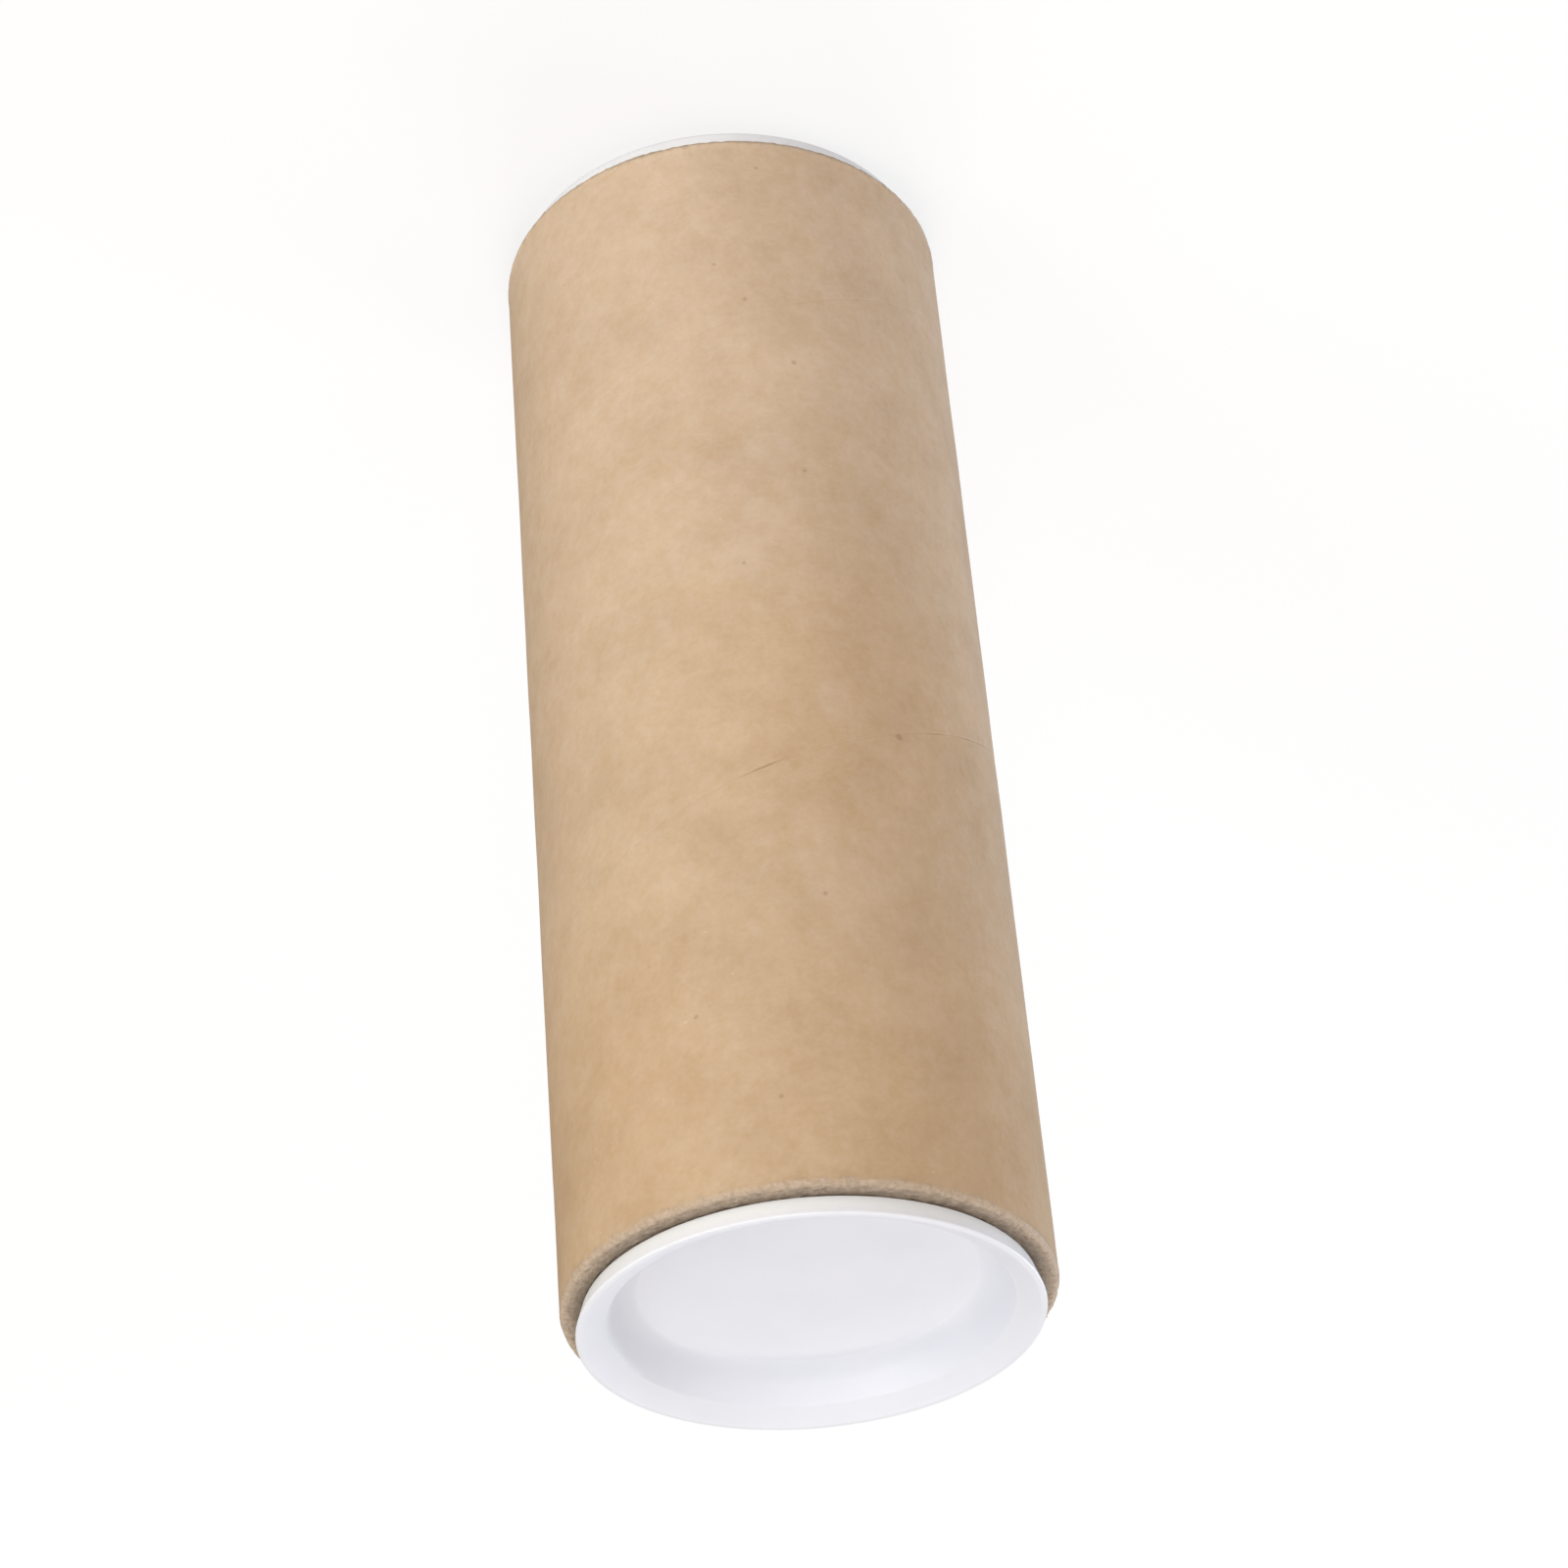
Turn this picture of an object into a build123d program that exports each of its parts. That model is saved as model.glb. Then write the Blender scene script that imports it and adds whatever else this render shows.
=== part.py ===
from build123d import *
import math
import os

os.makedirs("parts", exist_ok=True)

# Spiral-wound paper tube
bore_diameter = 50.8
wall_thickness = 3.0
tube_length = 152.4
worn_corner = 0.6

# Butt joint between the edges of the outermost paper strip
strip_width = 62.5
seam_width = 0.45
seam_depth = 0.2
seam_angle_at_base = 104
cut_overrun = 1.0

# Lip of the moulded plug, which seats on the cut end of the tube
lip_overhang = 0.6
lip_height = 2.5
lip_flare = 0.8
rim_land = 0.8
rim_chamfer = 0.15

# Dished recess inside the lip
bevel_width = 2.7
bevel_drop = 1.4
recess_depth = 5.6
dish_wall_run = 2.1
cove_radius = 2.6
cove_flats = 3
moulded_wall = 1.2

# Skirt that grips the bore
skirt_length = 9.5
skirt_wall = 1.0
skirt_gap = 0.35
lead_in_length = 1.2
lead_in_taper_share = 0.45
rib_ramp = 0.9
rib_back = 0.25
rib_count = 3
plug_clearance = 0.05

# Radii and heights that follow from the sizes above
bore_radius = bore_diameter / 2
tube_radius = bore_radius + wall_thickness
tube_base = lip_height
tube_top = tube_base + tube_length

# One turn of a strip that butts against its own edge climbs by this pitch
winding_angle = math.asin(strip_width / (2 * math.pi * tube_radius))
seam_pitch = strip_width / math.cos(winding_angle)

# Tube with the outer corner of both cut ends worn away
with BuildPart() as tube:
    with BuildSketch(Plane.XY.offset(tube_base)):
        Circle(tube_radius)
        Circle(bore_radius, mode=Mode.SUBTRACT)
    extrude(amount=tube_length)
    outer_corners = tube.edges().filter_by(GeomType.CIRCLE).group_by(SortBy.RADIUS)[-1]
    chamfer(outer_corners, worn_corner)

    # Helical groove where the two edges of the outer strip meet
    seam_start_angle = seam_angle_at_base - 360 * cut_overrun / seam_pitch
    seam_base = Plane.XY.offset(tube_base - cut_overrun).rotated((0, 0, seam_start_angle))
    with BuildLine(seam_base) as seam:
        Helix(seam_pitch, tube_length + 2 * cut_overrun, tube_radius)
    seam_start = seam.line @ 0
    outward = Vector(seam_start.X, seam_start.Y, 0).normalized()
    cutter_half_width = seam_width / 2 * (1 + cut_overrun / seam_depth)
    with BuildSketch(Plane(seam_start, x_dir=outward, z_dir=seam.line % 0)):
        with BuildLine():
            Polyline(
                (-seam_depth, 0),
                (cut_overrun, cutter_half_width),
                (cut_overrun, -cutter_half_width),
                close=True,
            )
        make_face()
    sweep(path=seam.line, is_frenet=True, mode=Mode.SUBTRACT)

tube.part.label = "tube"
export_step(tube.part, "parts/tube.step")

# Section of the plug, by radius and by height outwards from the tube's cut end
lip_base_radius = bore_radius + lip_overhang
lip_top_radius = lip_base_radius + lip_flare
land_inner_radius = lip_top_radius - rim_land
dish_top_radius = land_inner_radius - bevel_width
dish_floor_radius = dish_top_radius - dish_wall_run
dish_top = lip_height - bevel_drop
dish_floor = lip_height - recess_depth

# Skirt, which narrows to its tip so that it enters the bore easily
skirt_radius = bore_radius - skirt_gap
skirt_inner_radius = skirt_radius - skirt_wall
skirt_tip_radius = skirt_radius - skirt_wall * lead_in_taper_share

# Underside of the dish, one moulded wall below it, up to the fold at the skirt
dish_slope = dish_wall_run / (dish_top - dish_floor)
dish_wall_across = moulded_wall * math.sqrt(1 + dish_slope**2)
underside = dish_floor - moulded_wall
fold_height = dish_top - (dish_top_radius + dish_wall_across - skirt_inner_radius) / dish_slope

# Cove between the dish's floor and wall, as flats whose ends lie on its arc
wall_turn = math.atan2(dish_top - dish_floor, dish_wall_run)
cove_start_radius = dish_floor_radius - cove_radius * math.tan(wall_turn / 2)
cove = []
for flat_end in range(cove_flats + 1):
    turn = wall_turn * flat_end / cove_flats
    across = cove_radius * math.sin(turn)
    rise = cove_radius * (1 - math.cos(turn))
    cove.append((cove_start_radius + across, dish_floor + rise))

# Corners of the section, from the middle of the dish's floor round to its underside
section_corners = [
    (0, dish_floor),
    *cove,
    (dish_top_radius, dish_top),
    (land_inner_radius, lip_height),
    (lip_top_radius - rim_chamfer, lip_height),
    (lip_top_radius, lip_height - rim_chamfer),
    (lip_base_radius, 0),
    (skirt_radius, 0),
    (skirt_radius, lead_in_length - skirt_length),
    (skirt_tip_radius, -skirt_length),
    (skirt_inner_radius, -skirt_length),
    (skirt_inner_radius, fold_height),
    (dish_floor_radius + dish_wall_across, dish_floor),
    (dish_floor_radius, underside),
    (0, underside),
]

# Grip ribs lie evenly between the lip and the narrowed tip
rib_spacing = (skirt_length - lead_in_length) / (rib_count + 1)
rib_crest_radius = bore_radius - plug_clearance

# Each plug lies outwards from its own end of the tube
cap_seats = {
    "top_cap": Plane(origin=(0, 0, tube_top), x_dir=(1, 0, 0), z_dir=(0, 0, 1)),
    "bottom_cap": Plane(origin=(0, 0, tube_base), x_dir=(1, 0, 0), z_dir=(0, 0, -1)),
}

for cap_name, seat in cap_seats.items():
    section_plane = Plane(seat.origin, x_dir=seat.x_dir, z_dir=seat.x_dir.cross(seat.z_dir))
    with BuildPart() as cap:
        with BuildSketch(section_plane):
            with BuildLine():
                Polyline(*section_corners, close=True)
            make_face()

            # Annular grip ribs, ramped towards the tip and steep towards the lip
            for rib in range(rib_count):
                rib_level = -rib_spacing * (rib + 1)
                with BuildLine():
                    Polyline(
                        (skirt_radius, rib_level - rib_ramp),
                        (rib_crest_radius, rib_level),
                        (skirt_radius, rib_level + rib_back),
                        close=True,
                    )
                make_face()
        revolve(axis=Axis(seat.origin, seat.z_dir))
    cap.part.label = cap_name
    export_step(cap.part, f"parts/{cap_name}.step")
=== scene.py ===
import math

import bpy
import numpy as np
from mathutils import Matrix, Vector


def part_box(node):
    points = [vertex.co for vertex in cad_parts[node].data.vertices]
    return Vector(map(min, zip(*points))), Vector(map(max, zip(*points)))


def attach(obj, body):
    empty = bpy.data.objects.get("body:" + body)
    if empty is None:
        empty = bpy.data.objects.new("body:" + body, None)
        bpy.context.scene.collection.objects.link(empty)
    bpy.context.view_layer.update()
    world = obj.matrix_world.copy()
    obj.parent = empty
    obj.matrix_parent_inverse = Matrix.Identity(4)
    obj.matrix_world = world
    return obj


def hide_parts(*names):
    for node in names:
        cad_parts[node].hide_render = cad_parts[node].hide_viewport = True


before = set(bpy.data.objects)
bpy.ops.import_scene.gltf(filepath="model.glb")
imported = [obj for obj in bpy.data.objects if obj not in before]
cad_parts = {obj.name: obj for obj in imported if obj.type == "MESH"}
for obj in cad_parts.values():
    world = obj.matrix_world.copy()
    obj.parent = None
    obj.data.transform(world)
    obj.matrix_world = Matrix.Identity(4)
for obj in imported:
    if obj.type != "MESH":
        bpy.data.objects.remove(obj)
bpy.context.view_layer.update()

MM = 0.001

# Sizes read from the frame
tube_low, tube_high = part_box("tube")
cap_low, cap_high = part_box("top_cap")
tube_radius = tube_high.x
tube_base = tube_low.z
tube_top = tube_high.z
lip_top_radius = cap_high.x
lip_height = cap_high.z - tube_top
skirt_length = tube_top - cap_low.z

# Paper tube, with the joint of its outer strip and of the ply below it
wall_thickness = 3.0 * MM
bore_radius = tube_radius - wall_thickness
ply_count = 8
strip_width = 62.5 * MM
winding_angle = math.asin(strip_width / (2 * math.pi * tube_radius))
seam_pitch = strip_width / math.cos(winding_angle)
seam_angle_at_base = math.radians(104)
ply_joint_rise = 0.8 * tube_radius
worn_corner = 0.6 * MM

# Relief of the wound paper
seam_half_width = 0.13 * MM
seam_depth = 0.17 * MM
seam_line_width = 0.1 * MM
tucked_depth = 0.035 * MM
tucked_width = 0.7 * MM
ply_joint_depth = 0.02 * MM
ply_joint_width = 0.45 * MM
undulation_depth = 0.012 * MM
undulation_modes = 26

# Stretches where the seam gapes: turns from the seam's start, half length in turns, and how far
open_stretches = (
    (1.275, 0.030, 0.8), (1.329, 0.011, 0.45), (1.462, 0.014, 0.9), (1.535, 0.008, 0.4),
    (0.9, 0.04, 0.8), (1.85, 0.03, 0.8), (2.1, 0.03, 0.8),
)

# Mesh of the tube: columns round it, and rows that are closest beside the seam and the ply's joint
wall_columns = 360
end_columns = 2 * wall_columns
bore_bands = 8
edge_band = 1.0 * MM
edge_snap = 0.2 * MM
row_spacing = 1.55 * MM
row_clearance = 0.6 * MM
rows_beside_seam = np.array([0.0, 0.07, 0.14, 0.24, 0.42, 0.8, 1.4]) * MM
rows_beside_ply_joint = np.array([-1.0, -0.45, 0.0, 0.45, 1.0]) * MM

# Cut ends: how far in and how low each ring of the worn corner lies, and the wear of the plies
corner_profile = np.array(
    [(0.0, 0.82), (0.01, 0.64), (0.05, 0.47), (0.12, 0.31), (0.23, 0.18), (0.38, 0.08)]
) * MM
ply_drop = 0.05 * MM
bore_edge_profile = np.array([(0.02, 0.06), (0.0, 0.2)]) * MM
bore_edge_margin = 0.1 * MM
worn_rings_past_corner = 3
tooth_run, tooth_drop = 0.075 * MM, 0.05 * MM
grit_run, grit_drop = 0.02 * MM, 0.03 * MM
wave_drop = 0.035 * MM
wear_everywhere = 1.2

# Torn fibres on the cut ends
fibre_count = 320
fibre_stations = 4
fibre_sides = 3
fibre_lengths = (0.25 * MM, 0.8 * MM)
fibre_thicknesses = (0.014 * MM, 0.03 * MM)
fibre_headings = (-1.2, 1.2)
fibre_curls = (-1.0, 1.0)
fibre_rises = (-0.1, 0.45)
fibre_taper_share = 0.8
fibre_outward_share = 0.6
root_belt = 1.9 * MM
root_crowding = (1.2, 2.6)
root_inset = 0.12 * MM
root_drop_at_corner = 0.55 * MM
root_drop_on_plies = 0.06 * MM
root_drop_spread = 0.1 * MM
fibre_gap_to_outside = 0.04 * MM
fibre_height_above_cut = 0.12 * MM

# Moulded plug
lip_flare = 0.8 * MM
lip_base_radius = lip_top_radius - lip_flare
rim_land = 0.8 * MM
bevel_width = 2.7 * MM
bevel_drop = 1.4 * MM
recess_depth = 5.6 * MM
dish_wall_run = 2.1 * MM
dish_cove = 2.6 * MM
moulded_wall = 1.2 * MM
skirt_wall = 1.0 * MM
skirt_gap = 0.35 * MM
lead_in_length = 1.2 * MM
lead_in_taper_share = 0.45
rib_ramp = 0.9 * MM
rib_back = 0.25 * MM
rib_count = 3
plug_clearance = 0.05 * MM
cap_columns = 256
arc_steps = 8

# Roundings of the plug, and the slight fold where the cove leaves the dish's floor
floor_fold = math.radians(11)
floor_fold_margin = 0.08 * MM
dish_edge_rounding = 0.3 * MM
bevel_edge_rounding = 0.35 * MM
rim_rounding = 0.2 * MM
lip_foot_rounding = 0.08 * MM
rib_rounding = 0.06 * MM
lead_in_rounding = 0.5 * MM
skirt_tip_rounding = 0.15 * MM
inner_fold_rounding = 0.3 * MM
underside_rounding = 0.6 * MM

# Paper colours
kraft_colours = ((0.575, 0.424, 0.288, 1), (0.660, 0.503, 0.357, 1), (0.744, 0.583, 0.428, 1))
top_end_tint = (0.86, 0.82, 0.745, 1)
yellower_tint = (1.02, 1.0, 0.94, 1)
greyer_tint = (0.985, 0.995, 1.04, 1)
stain_tint = (0.98, 0.91, 0.80, 1)
scuff_colour = (0.80, 0.73, 0.66, 1)
pale_speck_colour = (0.80, 0.68, 0.50, 1)
dark_speck_colour = (0.25, 0.16, 0.09, 1)
seam_colour = (0.26, 0.185, 0.125, 1)
cut_ply_colours = ((0.44, 0.335, 0.235, 1), (0.52, 0.405, 0.295, 1), (0.59, 0.47, 0.355, 1))
# Painted shadow where the lip's foot meets the cut end
joint_shadow_colour = (0.10, 0.078, 0.058, 1)
liner_colours = ((0.36, 0.30, 0.235, 1), (0.46, 0.39, 0.31, 1))
fibre_colours = ((0.42, 0.32, 0.225, 1), (0.50, 0.39, 0.28, 1), (0.56, 0.45, 0.335, 1))

# Plastic colours
plastic_colours = ((0.85, 0.875, 0.94, 1), (0.87, 0.89, 0.955, 1))
# Painted light: the lip's outer side is paler and bluer than the rest of the plug
lip_side_painted_light_colour = (0.91, 0.955, 1.0, 1)
dust_colour = (0.45, 0.44, 0.46, 1)

# Marks on the paper: angle, height above the tube's base, radius in mm
dark_flecks = (
    (-96, 27, 0.28), (-89, 21, 0.22), (-107, 37, 0.28), (-102, 5, 0.22), (-107, 54, 0.24),
    (-90, 68, 0.22), (-102, 115, 0.24), (-70, 129, 0.24), (-88, 141, 0.24), (-125, 91.5, 0.38),
)
pale_scuffs = ((-54, 24, 2.2), (-95, 60, 1.8), (-98, 51, 2.6), (-90, 67, 2.4), (-108, 88, 2.0))
warm_stains = ((-114, 88, 30), (-140, 142, 42), (-22, 136, 40))

# How far noise carries the uneven borders, in mm
cloud_reach = 50.0
stain_reach = 20.0
shadow_patch_reach = 3.0
tear_reach = 1.8

# Borders that follow the shape, in mm: the torn paper from the cut end, the joint's painted shadow
# from the lip's foot to the outside, the bore's liner, and the lip's side with its painted light by
# height and by radius
torn_band = (0.4, 1.25)
shadow_past_lip_foot = 0.25
shadow_short_of_outside = 0.35
liner_band = (0.05, 0.3)
lip_side_rise = 1.0
lip_side_short_of_rim = 0.05
lip_side_inset = (0.4, 0.1)

# How strongly each mark shows
stain_strength = 0.5
scuff_strength = 0.09
pale_speck_strength = 0.35
dark_speck_strength = 0.34
seam_strength = 0.5
joint_shadow_strength = 0.62
dust_strength = 0.25

# Camera, from a fit to the outline in the photograph: its offset from the middle of the tube's
# top, and its angles in degrees
lens = 96.244
sensor_width = 36
camera_offset = Vector((-2.367, -426.312, 216.553)) * MM
camera_pitch = 34.0415
camera_roll = 174.8127
nearest_seen, farthest_seen = 0.01, 30

# Studio lamps: azimuth and elevation in degrees, distance, width, height, power and tint
lamps = {
    "front_lamp": (-90, 10, 1.3, 0.5, 0.5, 7.7, (1.0, 0.94, 0.88)),
    "key_lamp": (-45, 30, 1.3, 0.5, 0.5, 2.6, (0.95, 1.0, 1.0)),
    "low_lamp": (-22, -1, 0.8, 0.35, 0.1, 1.45, (1.0, 0.95, 0.81)),
    "side_lamp": (146, 4, 1.3, 0.6, 0.16, 10.6, (0.76, 0.86, 1.0)),
    "back_lamp": (90, 50, 1.3, 0.5, 0.5, 3.6, (1.0, 0.95, 0.86)),
    "top_lamp": (0, 88, 1.3, 0.6, 0.6, 2.2, (0.76, 0.85, 1.0)),
}
fill_strength = 0.51
fill_tint = (1.0, 0.93, 0.90)

# Floor, whose glow for the camera is full at a distance and leaves the shadow near the object
floor_size = 12.0
floor_colour = (0.28, 0.28, 0.28, 1)
glow_near_object = 0.735
full_glow = 1.0
glow_rises_from = 0.25
glow_full_from = 1.4

chance = np.random.default_rng(21)


def ring_noise(rings, columns, along, across=0.0):
    """Noise of unit spread on rings that close on themselves, smooth over so many columns."""
    white = chance.standard_normal((rings, columns))
    frequency = np.fft.fftfreq(columns) * 2 * np.pi
    window = np.exp(-(frequency * along) ** 2 / 2)
    smooth = np.fft.ifft(np.fft.fft(white, axis=1) * window, axis=1).real
    if across:
        rows = np.arange(rings)
        weight = np.exp(-((rows[:, None] - rows[None, :]) / across) ** 2 / 2)
        smooth = weight @ smooth
    return smooth / smooth.std()


def add_mesh(name, vertices, faces, material, body, sharp_angle):
    mesh = bpy.data.meshes.new(name)
    mesh.from_pydata([tuple(vertex) for vertex in vertices], [], faces)
    mesh.validate()
    mesh.materials.append(material)
    mesh.shade_smooth()
    mesh.set_sharp_from_angle(angle=math.radians(sharp_angle))
    piece = bpy.data.objects.new(name, mesh)
    bpy.context.scene.collection.objects.link(piece)
    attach(piece, body)
    return piece


class Graph:
    """One material, with short calls for its nodes."""

    # Places of a Mix node's colour sockets among its inputs and outputs
    mix_first, mix_second, mix_result = 6, 7, 2

    def __init__(self, name):
        self.material = bpy.data.materials.new(name)
        self.material.use_nodes = True
        self.nodes = self.material.node_tree.nodes
        self.links = self.material.node_tree.links
        self.nodes.clear()
        self.shader = self.nodes.new("ShaderNodeBsdfPrincipled")
        output = self.nodes.new("ShaderNodeOutputMaterial")
        self.links.new(self.shader.outputs["BSDF"], output.inputs["Surface"])

    def feed(self, socket, value):
        if isinstance(value, bpy.types.NodeSocket):
            self.links.new(value, socket)
        elif value is not None:
            socket.default_value = value

    def place(self):
        """Object coordinates in millimetres."""
        coordinates = self.nodes.new("ShaderNodeTexCoord").outputs["Object"]
        return self.vector("SCALE", coordinates, scale=1 / MM)

    def radius(self, place):
        """Distance from the tube's axis."""
        return self.vector("LENGTH", self.vector("MULTIPLY", place, (1, 1, 0)))

    def vector(self, operation, first, second=None, scale=None):
        node = self.nodes.new("ShaderNodeVectorMath")
        node.operation = operation
        self.feed(node.inputs[0], first)
        self.feed(node.inputs[1], second)
        if scale is not None:
            node.inputs["Scale"].default_value = scale
        return node.outputs["Value" if operation in ("LENGTH", "DISTANCE") else "Vector"]

    def split(self, vector):
        node = self.nodes.new("ShaderNodeSeparateXYZ")
        self.feed(node.inputs[0], vector)
        return node.outputs

    def math(self, operation, *values):
        node = self.nodes.new("ShaderNodeMath")
        node.operation = operation
        for socket, value in zip(node.inputs, values):
            self.feed(socket, value)
        return node.outputs[0]

    def remap(self, value, low, high, new_low=0.0, new_high=1.0, smooth=True):
        node = self.nodes.new("ShaderNodeMapRange")
        node.interpolation_type = "SMOOTHSTEP" if smooth else "LINEAR"
        for socket, entry in zip(node.inputs, (value, low, high, new_low, new_high)):
            self.feed(socket, entry)
        return node.outputs[0]

    def fade(self, value, start, end, strength=1.0, smooth=True):
        """Mask that falls from its strength to nothing as the value goes from start to end."""
        return self.remap(value, start, end, strength, 0.0, smooth)

    def sway(self, noise, weight, base):
        """Base value moved both ways by a noise."""
        return self.math("MULTIPLY_ADD", self.math("SUBTRACT", noise, 0.5), weight, base)

    def noise(self, vector, scale, detail=2.0, roughness=0.5):
        node = self.nodes.new("ShaderNodeTexNoise")
        self.feed(node.inputs["Vector"], vector)
        node.inputs["Scale"].default_value = scale
        node.inputs["Detail"].default_value = detail
        node.inputs["Roughness"].default_value = roughness
        return node.outputs[0]

    def cells(self, vector, scale):
        node = self.nodes.new("ShaderNodeTexVoronoi")
        self.feed(node.inputs["Vector"], vector)
        node.inputs["Scale"].default_value = scale
        return node.outputs["Distance"], node.outputs["Color"]

    def mix(self, amount, first, second, blend="MIX"):
        node = self.nodes.new("ShaderNodeMix")
        node.data_type = "RGBA"
        node.blend_type = blend
        self.feed(node.inputs["Factor"], amount)
        self.feed(node.inputs[self.mix_first], first)
        self.feed(node.inputs[self.mix_second], second)
        return node.outputs[self.mix_result]

    def cover(self, base, mask, strength, colour):
        """Base colour with another over it where the mask is."""
        return self.mix(self.math("MULTIPLY", mask, strength), base, colour)

    def ramp(self, value, positions, colours):
        node = self.nodes.new("ShaderNodeValToRGB")
        elements = node.color_ramp.elements
        while len(elements) < len(positions):
            elements.new(0.5)
        for element, position, colour in zip(elements, positions, colours):
            element.position = position
            element.color = colour
        self.feed(node.inputs[0], value)
        return node.outputs[0]

    def attribute(self, name):
        node = self.nodes.new("ShaderNodeAttribute")
        node.attribute_name = name
        return node.outputs["Fac"]

    def bump(self, height, distance, strength):
        node = self.nodes.new("ShaderNodeBump")
        node.inputs["Strength"].default_value = strength
        node.inputs["Distance"].default_value = distance
        self.feed(node.inputs["Height"], height)
        return node.outputs[0]

    def set(self, **values):
        for name, value in values.items():
            self.feed(self.shader.inputs[name.replace("_", " ")], value)


def on_tube(angle, height):
    """Point on the tube's outside in millimetres, by angle and height above its base."""
    radius = tube_radius / MM
    turn = math.radians(angle)
    return (radius * math.cos(turn), radius * math.sin(turn), tube_base / MM + height)


def strip_coordinates(graph, place, per_mm, stretch):
    """Coordinates whose noise has so many features a mm across the strip, stretched along it."""
    twist = graph.nodes.new("ShaderNodeVectorRotate")
    twist.rotation_type = "Z_AXIS"
    graph.feed(twist.inputs["Vector"], place)
    climb = seam_pitch / MM / (2 * math.pi)
    height = graph.split(place)[2]
    graph.feed(twist.inputs["Angle"], graph.math("MULTIPLY", height, -1 / climb))
    rise = math.sin(winding_angle)
    scale = (per_mm * rise, per_mm * rise, per_mm / (rise * stretch))
    return graph.vector("MULTIPLY", twist.outputs[0], scale)


def spots(graph, place, marks, wobble, unevenness=1.0):
    """Mask of round marks with uneven edges."""
    mask = 0.0
    for angle, height, radius in marks:
        distance = graph.vector("DISTANCE", place, on_tube(angle, height))
        distance = graph.sway(wobble, radius * unevenness, distance)
        mask = graph.math("MAXIMUM", mask, graph.fade(distance, radius * 0.6, radius * 1.7))
    return mask


def stains(graph, place, wobble):
    """Mask of wide marks that fade outwards."""
    mask = 0.0
    for angle, height, spread in warm_stains:
        distance = graph.vector("DISTANCE", place, on_tube(angle, height))
        distance = graph.sway(wobble, stain_reach, distance)
        stain = graph.fade(distance, spread * 0.2, spread, stain_strength)
        mask = graph.math("MAXIMUM", mask, stain)
    return mask


def strays(graph, place, per_mm, radius, share):
    """Mask of small marks strewn at random, of so many cells a mm."""
    cell, cell_colour = graph.cells(place, per_mm)
    pick = graph.split(cell_colour)[0]
    core = graph.fade(cell, radius * per_mm * 0.5, radius * per_mm * 1.5)
    return graph.math("MULTIPLY", core, graph.remap(pick, 1 - share, 1 - share + 0.05))


def wound_paper(graph, place, height, pulp, grain, fibres):
    """Colour of the outer strip, mottled at every size and browner towards the top."""
    tone = graph.sway(grain, 0.16, pulp)
    tone = graph.sway(fibres, 0.11, tone)
    paper = graph.ramp(tone, (0.28, 0.5, 0.72), kraft_colours)
    # Darker and browner towards the tube's top end, over a wavy border
    wavy_height = graph.sway(graph.noise(place, 0.03), cloud_reach, height)
    browner = graph.remap(wavy_height, tube_base / MM, tube_top / MM, smooth=False)
    paper = graph.mix(browner, paper, top_end_tint, "MULTIPLY")
    hue = graph.remap(graph.noise(place, 0.4, detail=3.0, roughness=0.65), 0.3, 0.7)
    tint = graph.mix(hue, yellower_tint, greyer_tint)
    return graph.mix(0.5, paper, tint, "MULTIPLY")


def marked_paper(graph, place, paper):
    """Paper with its warm stains, pale scuffs, specks and the thin dark line of the seam."""
    wobble = graph.noise(place, 0.9, detail=3.0, roughness=0.7)
    paper = graph.mix(stains(graph, place, wobble), paper, stain_tint, "MULTIPLY")
    scuffs = spots(graph, place, pale_scuffs, wobble, unevenness=2.0)
    paper = graph.cover(paper, scuffs, scuff_strength, scuff_colour)
    pale_specks = strays(graph, place, per_mm=0.35, radius=0.14, share=0.35)
    paper = graph.cover(paper, pale_specks, pale_speck_strength, pale_speck_colour)
    flecks = spots(graph, place, dark_flecks, wobble)
    stray_flecks = strays(graph, place, per_mm=0.2, radius=0.13, share=0.3)
    dark_specks = graph.math("MAXIMUM", flecks, stray_flecks)
    paper = graph.cover(paper, dark_specks, dark_speck_strength, dark_speck_colour)
    return graph.cover(paper, graph.attribute("seam"), seam_strength, seam_colour)


def torn_border(graph, place, height):
    """Mask of the cut ends and worn corners, with a soft uneven border to the paper."""
    from_base = graph.math("SUBTRACT", height, tube_base / MM)
    from_top = graph.math("SUBTRACT", tube_top / MM, height)
    from_end = graph.math("MINIMUM", from_base, from_top)
    tears = graph.noise(place, 0.8, detail=3.0, roughness=0.6)
    return graph.fade(graph.sway(tears, tear_reach, from_end), *torn_band)


def cut_plies(graph, place, radius, shreds):
    """Colour of the cut plies, from the worn corner in to the painted shadow of the joint under the
    lip.
    """
    across = graph.math("MULTIPLY", radius, 2 * math.pi * ply_count / (wall_thickness / MM))
    plies = graph.math("SINE", graph.math("MULTIPLY_ADD", shreds, 5.0, across))
    tone = graph.math("MULTIPLY_ADD", plies, 0.03, shreds)
    board = graph.ramp(tone, (0.33, 0.5, 0.68), cut_ply_colours)
    # Painted shadow: the cut plies darken towards the lip's foot, where the lip shades the joint,
    # with a patchy border
    shadow_patches = graph.noise(place, 0.9, detail=3.0, roughness=0.7)
    uneven_radius = graph.sway(shadow_patches, shadow_patch_reach, radius)
    inner = lip_base_radius / MM + shadow_past_lip_foot
    outer = tube_radius / MM - shadow_short_of_outside
    shade = graph.fade(uneven_radius, inner, outer, joint_shadow_strength, smooth=False)
    return graph.mix(shade, board, joint_shadow_colour)


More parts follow.
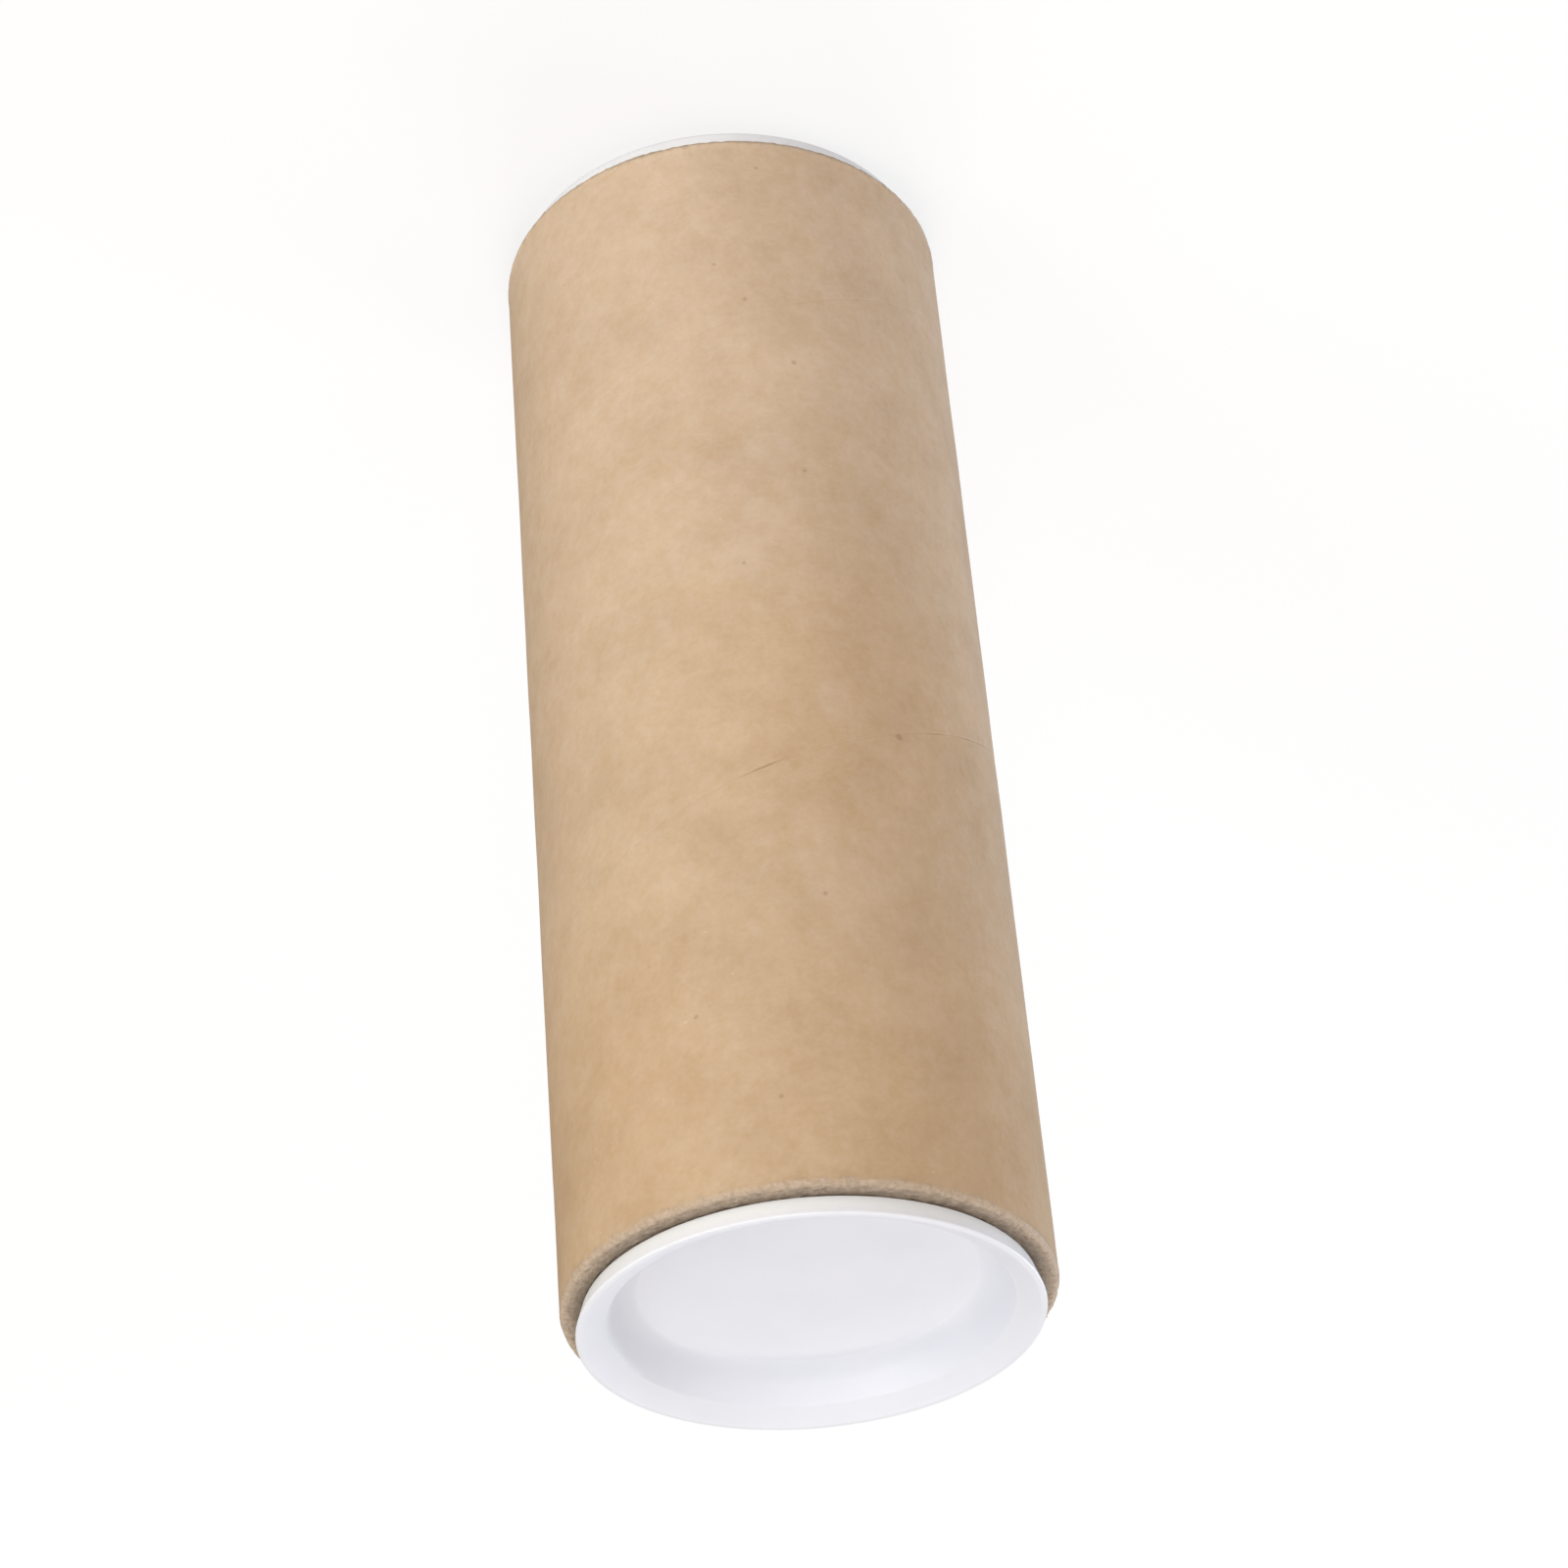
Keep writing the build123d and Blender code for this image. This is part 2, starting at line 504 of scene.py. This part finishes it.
def kraft_paper():
    graph = Graph("kraft_paper")
    place = graph.place()
    height = graph.split(place)[2]
    radius = graph.radius(place)
    pulp = graph.noise(place, 0.05, detail=5.0, roughness=0.93)
    grain = graph.noise(place, 2.4, roughness=0.6)
    fibres = graph.noise(strip_coordinates(graph, place, per_mm=7.0, stretch=9.0), 1.0)
    shreds = graph.noise(place, 1.7, detail=3.0, roughness=0.65)

    paper = wound_paper(graph, place, height, pulp, grain, fibres)
    paper = marked_paper(graph, place, paper)
    torn = torn_border(graph, place, height)
    paper = graph.mix(torn, paper, cut_plies(graph, place, radius, shreds))

    # Greyer board that lines the bore
    in_bore = graph.fade(radius, *(bore_radius / MM + step for step in liner_band))
    liner = graph.mix(graph.remap(pulp, 0.4, 0.6), *liner_colours)
    paper = graph.mix(in_bore, paper, liner)

    relief = graph.math("MULTIPLY_ADD", fibres, 0.12, graph.math("MULTIPLY", grain, 0.35))
    relief = graph.math("MULTIPLY_ADD", pulp, 1.4, relief)
    relief = graph.math("MULTIPLY_ADD", graph.math("MULTIPLY", shreds, torn), 1.4, relief)
    graph.set(
        Base_Color=paper,
        Roughness=graph.remap(grain, 0.3, 0.7, 0.66, 0.78),
        Specular_IOR_Level=0.4,
        Normal=graph.bump(relief, distance=0.06 * MM, strength=0.7),
    )
    return graph.material


def paper_fibre():
    graph = Graph("paper_fibre")
    place = graph.place()
    shade = graph.noise(place, 1.5, roughness=0.6)
    graph.set(
        Base_Color=graph.ramp(shade, (0.35, 0.5, 0.65), fibre_colours),
        Roughness=graph.remap(graph.noise(place, 6.0), 0.3, 0.7, 0.8, 0.95),
        Specular_IOR_Level=0.3,
        Normal=graph.bump(graph.noise(place, 14.0), distance=0.02 * MM, strength=0.5),
    )
    return graph.material


def painted_light_on_lip_side(graph, place):
    """Mask of the lip's outer side, painted paler than the rest of the plug as painted light on a
    side that faces down the tube.
    """
    height = graph.split(place)[2]
    above_top = graph.math("SUBTRACT", height, tube_top / MM)
    below_base = graph.math("SUBTRACT", tube_base / MM, height)
    outward = graph.math("MAXIMUM", above_top, below_base)
    below_rim = graph.fade(outward, lip_side_rise, lip_height / MM - lip_side_short_of_rim)
    lip_foot = lip_base_radius / MM
    outside = graph.remap(graph.radius(place), *(lip_foot - inset for inset in lip_side_inset))
    return graph.math("MULTIPLY", below_rim, outside)


def moulded_plastic():
    graph = Graph("moulded_plastic")
    place = graph.place()
    cloud = graph.noise(place, 0.12)
    plastic = graph.mix(graph.remap(cloud, 0.3, 0.7), *plastic_colours)
    # Painted light: the lip's outer side is mixed paler and bluer
    plastic = graph.mix(painted_light_on_lip_side(graph, place), plastic, lip_side_painted_light_colour)
    dust = strays(graph, place, per_mm=0.16, radius=0.12, share=0.25)
    plastic = graph.cover(plastic, dust, dust_strength, dust_colour)
    peel = graph.noise(place, 1.4, detail=3.0, roughness=0.55)
    scratch = graph.noise(graph.vector("MULTIPLY", place, (0.25, 3.0, 0.25)), 1.0)
    relief = graph.math("MULTIPLY_ADD", scratch, 0.25, peel)
    graph.set(
        Base_Color=plastic,
        Roughness=graph.remap(peel, 0.3, 0.7, 0.36, 0.5),
        Specular_IOR_Level=0.45,
        IOR=1.51,
        Subsurface_Weight=0.25,
        Subsurface_Radius=(1.0, 1.0, 1.0),
        Subsurface_Scale=0.8 * MM,
        Normal=graph.bump(relief, distance=0.02 * MM, strength=0.35),
    )
    return graph.material


def seam_opening(turns):
    """How far the seam gapes along its length, from 0 to 1."""
    faint = 0.14 + 0.10 * np.sin(31 * turns + 1.0) * np.sin(83 * turns)
    opening = np.clip(faint, 0.03, 1.0)
    for middle, half_length, gape in open_stretches:
        swell = gape * np.exp(-(((turns - middle) / half_length) ** 4))
        ripple = 0.8 + 0.2 * np.sin(190 * turns + 5 * middle)
        opening = np.maximum(opening, swell * ripple)
    return opening


def paper_undulation(angle, height):
    """Shallow undulation of the wound paper, from 0 inwards."""
    relief = np.zeros_like(angle)
    for _ in range(undulation_modes):
        around = chance.integers(1, 14)
        upward = chance.uniform(-9, 9)
        phase = chance.uniform(0, 2 * np.pi)
        relief += np.sin(around * angle + 2 * np.pi * upward * height / tube_top + phase)
    relief *= undulation_depth / math.sqrt(undulation_modes / 2)
    return relief.max() - relief


def row_offsets():
    """Heights of the mesh rows above the seam over one pitch."""
    beside_next_turn = seam_pitch - rows_beside_seam[1:]
    beside_ply_joint = ply_joint_rise + rows_beside_ply_joint
    fixed = np.concatenate([rows_beside_seam, beside_next_turn, beside_ply_joint])
    even = np.arange(0, seam_pitch, row_spacing)
    clear = [row for row in even if np.abs(fixed - row).min() > row_clearance]
    return np.sort(np.concatenate([fixed, clear]))


def wall_depth(angle, height, offset, turns):
    """Depth below the nominal outside at each point of the wall, and the mask of the seam."""
    to_seam = np.where(offset > seam_pitch / 2, offset - seam_pitch, offset)
    across = to_seam * math.cos(winding_angle)
    opening = seam_opening(turns)
    groove = seam_depth * opening * np.clip(1 - np.abs(across) / seam_half_width, 0, 1)
    above_seam = (across > 0) * np.exp(-np.clip(across, 0, None) / tucked_width)
    tucked = tucked_depth * above_seam * (0.4 + opening)
    from_ply_joint = (offset - ply_joint_rise) * math.cos(winding_angle)
    ply_joint = ply_joint_depth * np.exp(-((from_ply_joint / ply_joint_width) ** 2))
    depth = paper_undulation(angle, height) + groove + tucked + ply_joint
    mask = opening * np.exp(-((across / seam_line_width) ** 2))
    return depth, mask


def wall_faces(index, per_turn):
    """Faces between neighbouring columns, where the last column joins the first a turn higher."""
    top_edge = np.full((1, per_turn), wall_columns)
    first_column = np.concatenate([index[:1, per_turn:], top_edge], axis=1)
    beyond = np.concatenate([index[1:], first_column], axis=0)
    quads = np.stack([index[:, :-1], beyond[:, :-1], beyond[:, 1:], index[:, 1:]], axis=-1)
    faces = []
    for quad in quads.reshape(-1, 4).tolist():
        corners = [vertex for spot, vertex in enumerate(quad) if vertex != quad[spot - 1]]
        if len(set(corners)) > 2:
            faces.append(corners)
    return faces


def outer_wall(low, high):
    """Grid of the outer wall between two heights, in rows that run along the seam."""
    offsets = row_offsets()
    turn_count = math.ceil((tube_top - tube_base) / seam_pitch) + 2
    rows = np.concatenate([offsets + turn * seam_pitch for turn in range(turn_count)])
    share_of_turn = np.arange(wall_columns)[:, None] / wall_columns
    height = tube_base - seam_pitch + rows[None, :] + seam_pitch * share_of_turn
    angle = (seam_angle_at_base + 2 * np.pi * share_of_turn) * np.ones_like(height)

    # The first two rings of vertices are the clipped bottom and top edges
    at_bottom = height < low + edge_snap
    at_top = height > high - edge_snap
    between = ~(at_bottom | at_top)
    index = np.zeros(height.shape, int)
    columns = np.arange(wall_columns)[:, None] * np.ones_like(index)
    index[between] = 2 * wall_columns + np.arange(between.sum())
    index[at_bottom] = columns[at_bottom]
    index[at_top] = wall_columns + columns[at_top]

    # Angle and height of every vertex, and where it lies from the seam
    edge_angle = seam_angle_at_base + 2 * np.pi * np.arange(wall_columns) / wall_columns
    bottom_edge = np.full(wall_columns, low)
    top_edge = np.full(wall_columns, high)
    angles = np.concatenate([edge_angle, edge_angle, angle[between]])
    heights = np.concatenate([bottom_edge, top_edge, height[between]])
    lift = heights - tube_base - seam_pitch * ((angles - seam_angle_at_base) / (2 * np.pi))
    offset = np.mod(lift, seam_pitch)
    turns = (heights - offset - tube_base) / seam_pitch
    turns = np.where(offset > seam_pitch / 2, turns + 1, turns)

    depth, mask = wall_depth(angles, heights, offset, turns)
    reach = tube_radius - depth
    vertices = np.column_stack([reach * np.cos(angles), reach * np.sin(angles), heights])
    return vertices, mask, wall_faces(index, len(offsets))


def cut_end(level, inward):
    """Rings from the outer wall over the worn corner and the cut plies to the bore."""
    flat_radius = tube_radius - worn_corner
    steps = 2 * ply_count + 2
    spacing = (flat_radius - bore_radius - bore_edge_margin) / steps
    rings = [(tube_radius - run, drop) for run, drop in corner_profile]
    rings += [(flat_radius - step * spacing, ply_drop * (step % 2)) for step in range(steps + 1)]
    rings += [(bore_radius + run, drop) for run, drop in bore_edge_profile]

    count = len(rings)
    corner_rings = len(corner_profile)
    radius, drop = np.array(rings).T[:, :, None] * np.ones(end_columns)
    teeth = np.clip(ring_noise(count, end_columns, along=1.4, across=1.2), 0, 2.5)
    grit = np.clip(ring_noise(count, end_columns, along=0.7) + wear_everywhere, 0, 3)
    waves = ring_noise(count, end_columns, along=9.0, across=3.0)
    waves = np.clip(waves + wear_everywhere, 0, 3)
    wear = np.ones((count, 1))
    wear[:corner_rings, 0] = np.linspace(0.2, 1.0, corner_rings)
    wear[-len(bore_edge_profile):] = 0
    corner_wear = wear.copy()
    corner_wear[corner_rings + worn_rings_past_corner:] = 0
    radius -= corner_wear * (tooth_run * teeth + grit_run * grit)
    drop += wear * (tooth_drop * teeth + grit_drop * grit + wave_drop * waves)
    angle = seam_angle_at_base + 2 * np.pi * np.arange(end_columns)[None, :] / end_columns
    height = level + inward * drop
    return np.stack([radius * np.cos(angle), radius * np.sin(angle), height], axis=-1)


def bore_rings():
    """Rings of the bore between the two cut ends, from the bottom up."""
    angle = seam_angle_at_base + 2 * np.pi * np.arange(end_columns) / end_columns
    x = bore_radius * np.cos(angle)
    y = bore_radius * np.sin(angle)
    levels = np.linspace(tube_base, tube_top, bore_bands + 1)[1:-1]
    return [np.column_stack([x, y, np.full(end_columns, level)]) for level in levels]


def ring_faces(first, second, columns):
    """Quads between two rings that start at the given vertices."""
    here = np.arange(columns)
    ahead = (here + 1) % columns
    quads = np.stack([first + here, first + ahead, second + ahead, second + here], axis=-1)
    return quads.tolist()


def edge_faces(wall_start, end_start, flip=False):
    """Faces between a ring of the wall and the finer first ring of a cut end."""
    faces = []
    for column in range(wall_columns):
        ahead = (column + 1) % wall_columns
        fine = [end_start + (2 * column + step) % end_columns for step in (2, 1, 0)]
        face = [wall_start + column, wall_start + ahead, *fine]
        faces.append(face[::-1] if flip else face)
    return faces


def build_tube():
    wall, mask, faces = outer_wall(tube_base + edge_band, tube_top - edge_band)
    parts = [wall]
    start = len(wall)
    ends = {}
    for end, level, inward in (("top", tube_top, -1), ("bottom", tube_base, 1)):
        rings = cut_end(level, inward)
        ends[end] = [start + ring * end_columns for ring in range(len(rings))]
        parts.append(rings.reshape(-1, 3))
        start += len(rings) * end_columns
    bore_starts = []
    for ring in bore_rings():
        parts.append(ring)
        bore_starts.append(start)
        start += end_columns

    faces += edge_faces(wall_columns, ends["top"][0])
    faces += edge_faces(0, ends["bottom"][0], flip=True)
    inside = ends["top"] + bore_starts[::-1] + ends["bottom"][::-1]
    for first, second in zip(inside[:-1], inside[1:]):
        faces += ring_faces(first, second, end_columns)
    vertices = np.concatenate(parts)
    tube = add_mesh("tube_board", vertices, faces, kraft_paper(), "tube", sharp_angle=50)
    seam = tube.data.attributes.new("seam", "FLOAT", "POINT")
    values = np.zeros(len(vertices), np.float32)
    values[:len(mask)] = mask
    seam.data.foreach_set("value", values)
    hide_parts("tube")


def fibre_faces(base):
    """Faces of one fibre and its two ends."""
    faces = []
    for station in range(fibre_stations - 1):
        ring = base + station * fibre_sides
        above = ring + fibre_sides
        for side in range(fibre_sides):
            ahead = (side + 1) % fibre_sides
            faces.append((ring + side, ring + ahead, above + ahead, above + side))
    tip = base + (fibre_stations - 1) * fibre_sides
    faces.append((base + 2, base + 1, base))
    faces.append((tip, tip + 1, tip + 2))
    return faces


def build_fibres(name, level, outward, material):
    """Short torn fibres along the worn corner and the cut plies of one end."""
    count = fibre_count
    angle = chance.uniform(0, 2 * np.pi, count)
    depth = chance.beta(*root_crowding, count) * root_belt
    root_radius = tube_radius - root_inset - depth
    root_drop = np.clip(root_drop_at_corner - depth, root_drop_on_plies, None)
    root_drop += chance.uniform(0, root_drop_spread, count)
    length = chance.uniform(*fibre_lengths, count)
    thickness = chance.uniform(*fibre_thicknesses, count)
    heading = chance.uniform(*fibre_headings, count)
    rise = chance.uniform(*fibre_rises, count)
    curl = chance.uniform(*fibre_curls, count)
    hand = np.where(chance.random(count) < 0.5, -1, 1)

    vertices, faces = [], []
    for fibre in range(count):
        faces += fibre_faces(len(vertices))
        for station in range(fibre_stations):
            share = station / (fibre_stations - 1)
            along = share * length[fibre]
            bend = heading[fibre] + curl[fibre] * station / fibre_stations
            radius = root_radius[fibre] + along * math.sin(bend) * fibre_outward_share
            radius = min(radius, tube_radius - fibre_gap_to_outside)
            turn = angle[fibre] + hand[fibre] * along * math.cos(bend) / root_radius[fibre]
            climb = min(along * rise[fibre] - root_drop[fibre], fibre_height_above_cut)
            girth = thickness[fibre] * (1 - fibre_taper_share * share)
            for side in range(fibre_sides):
                spin = 2 * math.pi * side / fibre_sides
                reach = radius + girth * math.cos(spin)
                height = level + outward * climb + girth * math.sin(spin)
                vertices.append((reach * math.cos(turn), reach * math.sin(turn), height))
    piece = add_mesh(name, vertices, faces, material, "tube", sharp_angle=180)


def rounded(corners):
    """Outline through corners given as radius, height and rounding, with arcs at the rounded ones."""
    points = [np.array(corner[:2]) for corner in corners]
    outline = []
    for spot, (_, _, rounding) in enumerate(corners):
        corner = points[spot]
        if not rounding:
            outline.append(corner)
            continue
        back = points[spot - 1] - corner
        onward = points[spot + 1] - corner
        back /= np.linalg.norm(back)
        onward /= np.linalg.norm(onward)
        half = math.acos(back @ onward) / 2
        halfway = (back + onward) / np.linalg.norm(back + onward)
        middle = corner + halfway * rounding / math.sin(half)
        start = corner + back * rounding / math.tan(half) - middle
        end = corner + onward * rounding / math.tan(half) - middle
        sweep = math.pi - 2 * half
        for share in np.linspace(0, 1, arc_steps + 1):
            start_share = math.sin((1 - share) * sweep) / math.sin(sweep)
            end_share = math.sin(share * sweep) / math.sin(sweep)
            outline.append(middle + start_share * start + end_share * end)
    return outline


def cap_section():
    """Outline of the plug by radius and height from the cut end, axis to axis."""
    land_inner_radius = lip_top_radius - rim_land
    dish_top_radius = land_inner_radius - bevel_width
    dish_floor_radius = dish_top_radius - dish_wall_run
    dish_top = lip_height - bevel_drop
    dish_floor = lip_height - recess_depth
    underside = dish_floor - moulded_wall
    dish_slope = dish_wall_run / (dish_top - dish_floor)
    wall_across = moulded_wall * math.sqrt(1 + dish_slope**2)
    skirt_radius = bore_radius - skirt_gap
    skirt_inner_radius = skirt_radius - skirt_wall
    skirt_tip_radius = skirt_radius - skirt_wall * lead_in_taper_share
    fold_height = dish_top - (dish_top_radius + wall_across - skirt_inner_radius) / dish_slope
    rib_spacing = (skirt_length - lead_in_length) / (rib_count + 1)
    rib_crest_radius = bore_radius - plug_clearance

    # The cove leaves the floor at a slight angle, which shows as a fine line round it
    wall_turn = math.atan(1 / dish_slope)
    cove_start = dish_floor_radius - dish_cove * math.tan(wall_turn / 2)
    cove_run = (dish_floor_radius - cove_start) / (1 - math.tan(floor_fold) * dish_slope)
    cove_corner = (cove_start + cove_run, dish_floor + cove_run * math.tan(floor_fold))
    cove_rounding = cove_run / math.cos(floor_fold) / math.tan((wall_turn - floor_fold) / 2)

    corners = [
        (0, dish_floor, 0),
        (cove_start - floor_fold_margin, dish_floor, 0),
        (cove_start, dish_floor, 0),
        (*cove_corner, cove_rounding),
        (dish_top_radius, dish_top, dish_edge_rounding),
        (land_inner_radius, lip_height, bevel_edge_rounding),
        (lip_top_radius, lip_height, rim_rounding),
        (lip_base_radius, 0, lip_foot_rounding),
        (skirt_radius, 0, 0),
    ]
    for rib in range(rib_count):
        level = -rib_spacing * (rib + 1)
        corners += [
            (skirt_radius, level + rib_back, 0),
            (rib_crest_radius, level, rib_rounding),
            (skirt_radius, level - rib_ramp, 0),
        ]
    corners += [
        (skirt_radius, lead_in_length - skirt_length, lead_in_rounding),
        (skirt_tip_radius, -skirt_length, skirt_tip_rounding),
        (skirt_inner_radius, -skirt_length, skirt_tip_rounding),
        (skirt_inner_radius, fold_height, inner_fold_rounding),
        (dish_floor_radius + wall_across, dish_floor, underside_rounding),
        (dish_floor_radius, underside, underside_rounding),
        (0, underside, 0),
    ]
    return rounded(corners)


def build_cap(name, node, level, outward, material):
    """Plug turned from its section, with a pole at the middle of the dish and of the underside."""
    outline = np.array(cap_section())
    radius = outline[1:-1, :1]
    height = level + outward * outline[:, 1:]
    angle = 2 * np.pi * np.arange(cap_columns) / cap_columns
    heights = height[1:-1] * np.ones(cap_columns)
    rings = np.stack([radius * np.cos(angle), radius * np.sin(angle), heights], axis=-1)
    poles = np.array([(0, 0, height[0, 0]), (0, 0, height[-1, 0])])
    vertices = np.concatenate([poles, rings.reshape(-1, 3)])

    starts = [len(poles) + ring * cap_columns for ring in range(len(rings))]
    faces = []
    for first, second in zip(starts[:-1], starts[1:]):
        faces += ring_faces(first, second, cap_columns)
    for column in range(cap_columns):
        ahead = (column + 1) % cap_columns
        faces.append([0, starts[0] + ahead, starts[0] + column])
        faces.append([1, starts[-1] + column, starts[-1] + ahead])
    if outward > 0:
        faces = [face[::-1] for face in faces]
    cap = add_mesh(name, vertices, faces, material, node, sharp_angle=30)
    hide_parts(node)


def build_floor():
    half = floor_size / 2
    corners = [(-half, -half, 0), (half, -half, 0), (half, half, 0), (-half, half, 0)]
    mesh = bpy.data.meshes.new("floor")
    mesh.from_pydata(corners, [], [(0, 1, 2, 3)])
    graph = Graph("pale_floor")
    seen_by_camera = graph.nodes.new("ShaderNodeLightPath").outputs["Is Camera Ray"]
    distance = graph.vector("LENGTH", graph.place())
    rise = (glow_rises_from / MM, glow_full_from / MM, glow_near_object, full_glow)
    glow = graph.math("MULTIPLY", seen_by_camera, graph.remap(distance, *rise))
    graph.set(
        Base_Color=floor_colour,
        Roughness=1.0,
        Specular_IOR_Level=0.0,
        Emission_Color=(1, 1, 1, 1),
        Emission_Strength=glow,
    )
    mesh.materials.append(graph.material)
    floor = bpy.data.objects.new("floor", mesh)
    bpy.context.scene.collection.objects.link(floor)


def build_world():
    """Soft fill light, and plain white where the camera sees past the floor."""
    world = bpy.data.worlds.new("studio")
    bpy.context.scene.world = world
    world.use_nodes = True
    nodes = world.node_tree.nodes
    links = world.node_tree.links
    nodes.clear()
    rays = nodes.new("ShaderNodeLightPath")
    fill = nodes.new("ShaderNodeBackground")
    fill.inputs["Color"].default_value = (*fill_tint, 1)
    fill.inputs["Strength"].default_value = fill_strength
    white = nodes.new("ShaderNodeBackground")
    white.inputs["Color"].default_value = (1, 1, 1, 1)
    choose = nodes.new("ShaderNodeMixShader")
    output = nodes.new("ShaderNodeOutputWorld")
    links.new(rays.outputs["Is Camera Ray"], choose.inputs["Fac"])
    links.new(fill.outputs[0], choose.inputs[1])
    links.new(white.outputs[0], choose.inputs[2])
    links.new(choose.outputs[0], output.inputs["Surface"])


def add_lamp(name, azimuth, elevation, distance, width, height, power, tint):
    """Soft lamp that faces the middle of the tube."""
    target = Vector((0, 0, (tube_base + tube_top) / 2))
    turn = math.radians(azimuth)
    lift = math.radians(elevation)
    level_reach = math.cos(lift)
    towards = Vector((math.cos(turn) * level_reach, math.sin(turn) * level_reach, math.sin(lift)))
    light = bpy.data.lights.new(name, "AREA")
    light.shape = "RECTANGLE"
    light.size = width
    light.size_y = height
    light.energy = power
    light.color = tint
    lamp = bpy.data.objects.new(name, light)
    lamp.visible_camera = False
    lamp.location = target + towards * distance
    lamp.rotation_euler = (-towards).to_track_quat("-Z", "Y").to_euler()
    bpy.context.scene.collection.objects.link(lamp)


def build_camera():
    data = bpy.data.cameras.new("photo_camera")
    data.lens = lens
    data.sensor_width = sensor_width
    data.clip_start = nearest_seen
    data.clip_end = farthest_seen
    camera = bpy.data.objects.new("photo_camera", data)
    place = Vector((0, 0, tube_top)) + camera_offset
    turn = Matrix.Rotation(math.radians(90 - camera_pitch), 4, "X")
    roll = Matrix.Rotation(math.radians(camera_roll), 4, "Z")
    camera.matrix_world = Matrix.Translation(place) @ turn @ roll
    bpy.context.scene.collection.objects.link(camera)
    bpy.context.scene.camera = camera


build_tube()
fibre_material = paper_fibre()
build_fibres("cut_fibres_top", tube_top, 1, fibre_material)
build_fibres("cut_fibres_bottom", tube_base, -1, fibre_material)
plastic_material = moulded_plastic()
build_cap("top_cap_moulding", "top_cap", tube_top, 1, plastic_material)
build_cap("bottom_cap_moulding", "bottom_cap", tube_base, -1, plastic_material)

build_floor()
build_world()
for lamp_name, lamp_setting in lamps.items():
    add_lamp(lamp_name, *lamp_setting)
build_camera()
bpy.context.scene.view_settings.view_transform = "Standard"
